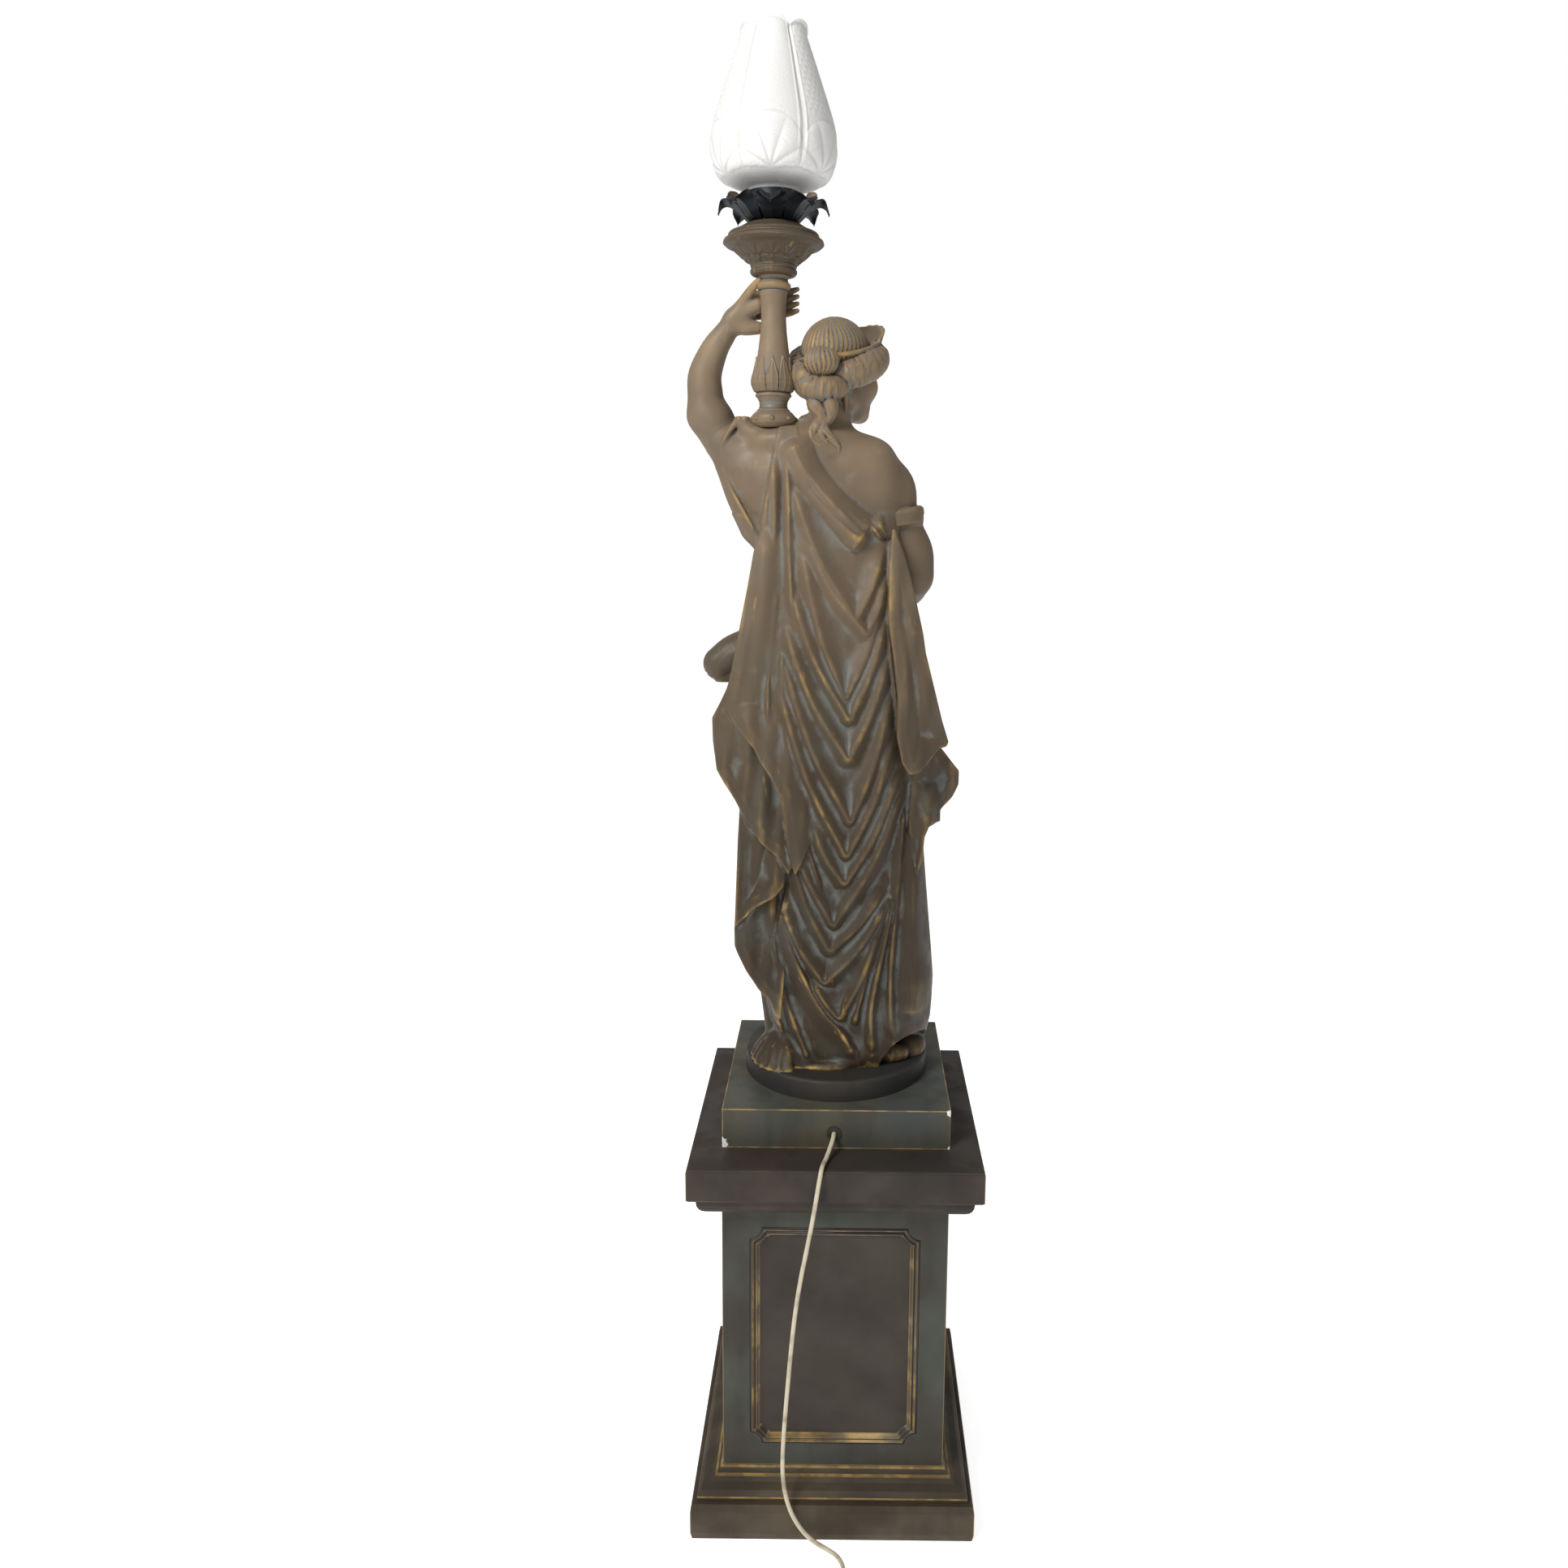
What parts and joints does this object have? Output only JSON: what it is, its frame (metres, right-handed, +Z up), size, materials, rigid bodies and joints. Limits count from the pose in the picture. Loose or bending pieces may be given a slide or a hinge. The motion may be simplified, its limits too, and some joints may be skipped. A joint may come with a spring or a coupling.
{
  "type": "torchiere floor lamp",
  "caption": "Floor lamp: a draped standing figure on a square panelled pedestal holds up a torch with a frosted glass tulip shade; the lead leaves the statue's plate and ends in a plug.",
  "frame": {"origin": "centre of the pedestal's foot, on the floor", "axes": "+Z up, +Y the way the figure faces, +X to the right as seen from behind the figure"},
  "size_m": [0.4157, 0.544, 2.0363],
  "materials": {
    "board": "sawn plywood",
    "steel": "zinc plated",
    "dark_bronze_paint": "dark bronze paint, rubbed",
    "green_bronze_paint": "bronze paint with green wash",
    "gilt_bronze_paint": "bronze paint, gilt on the edges",
    "bronze_patina": "bronze patina with gilt highlights and a pale blue-green wash",
    "dark_metal": "blackened",
    "brass": "aged",
    "frosted_glass": "frosted, pressed",
    "bulb_glass": "frosted",
    "paper_liner": "fibre",
    "porcelain": "glazed",
    "aluminium": "spun",
    "grommet_plastic": "moulded",
    "cord_plastic": "ivory vinyl",
    "plug_plastic": "moulded ivory"
  },
  "bodies": {
    "lamp": {"base_board": "board", "base_screws": "steel", "pedestal_plinth": "dark_bronze_paint", "pedestal_shaft": "green_bronze_paint", "panel_mouldings": "gilt_bronze_paint", "pedestal_cap": "dark_bronze_paint", "lower_corner_blocks": "board", "upper_corner_blocks": "board", "block_screws": "steel", "plate_bolts": "steel", "statue_plate": "green_bronze_paint", "ground_bolts": "steel", "cord_grommet": "grommet_plastic", "figure_ground": "bronze_patina", "figure_robe": "bronze_patina", "figure_head": "bronze_patina", "raised_arm": "bronze_patina", "lowered_arm": "bronze_patina", "torch_stem": "bronze_patina", "torch_bobeche": "bronze_patina", "leaf_crown": "dark_metal", "shade_gallery": "dark_metal", "stem_rod": "steel", "gallery_nut": "brass", "lampholder_cap": "brass", "lampholder_shell": "brass", "lampholder_liner": "paper_liner", "lampholder_insulator": "porcelain", "screw_shell": "brass", "centre_contact": "brass", "inner_lead": "cord_plastic", "supply_cord": "cord_plastic", "cord_coil": "cord_plastic", "plug_body": "plug_plastic", "plug_pins": "brass"},
    "shade": {"glass_shade": "frosted_glass"},
    "bulb": {"bulb_envelope": "bulb_glass", "bulb_cap": "aluminium", "bulb_contact": "brass"},
    "thumbscrew_a": {"thumbscrew_1": "brass"},
    "thumbscrew_b": {"thumbscrew_2": "brass"},
    "thumbscrew_c": {"thumbscrew_3": "brass"}
  },
  "joints": [
    {"name": "shade_lift", "type": "slide", "parent": "lamp", "child": "shade", "axis": [0, 0, 1], "range_m": [0, 0.17]},
    {"name": "bulb_lift", "type": "slide", "parent": "lamp", "child": "bulb", "axis": [0, 0, 1], "range_m": [0, 0.22]},
    {"name": "thumbscrew_a_back_off", "type": "slide", "parent": "lamp", "child": "thumbscrew_a", "axis": [0, 1, 0], "range_m": [0, 0.006]},
    {"name": "thumbscrew_b_back_off", "type": "slide", "parent": "lamp", "child": "thumbscrew_b", "axis": [-0.866, -0.5, 0], "range_m": [0, 0.006]},
    {"name": "thumbscrew_c_back_off", "type": "slide", "parent": "lamp", "child": "thumbscrew_c", "axis": [0.866, -0.5, 0], "range_m": [0, 0.006]}
  ]
}
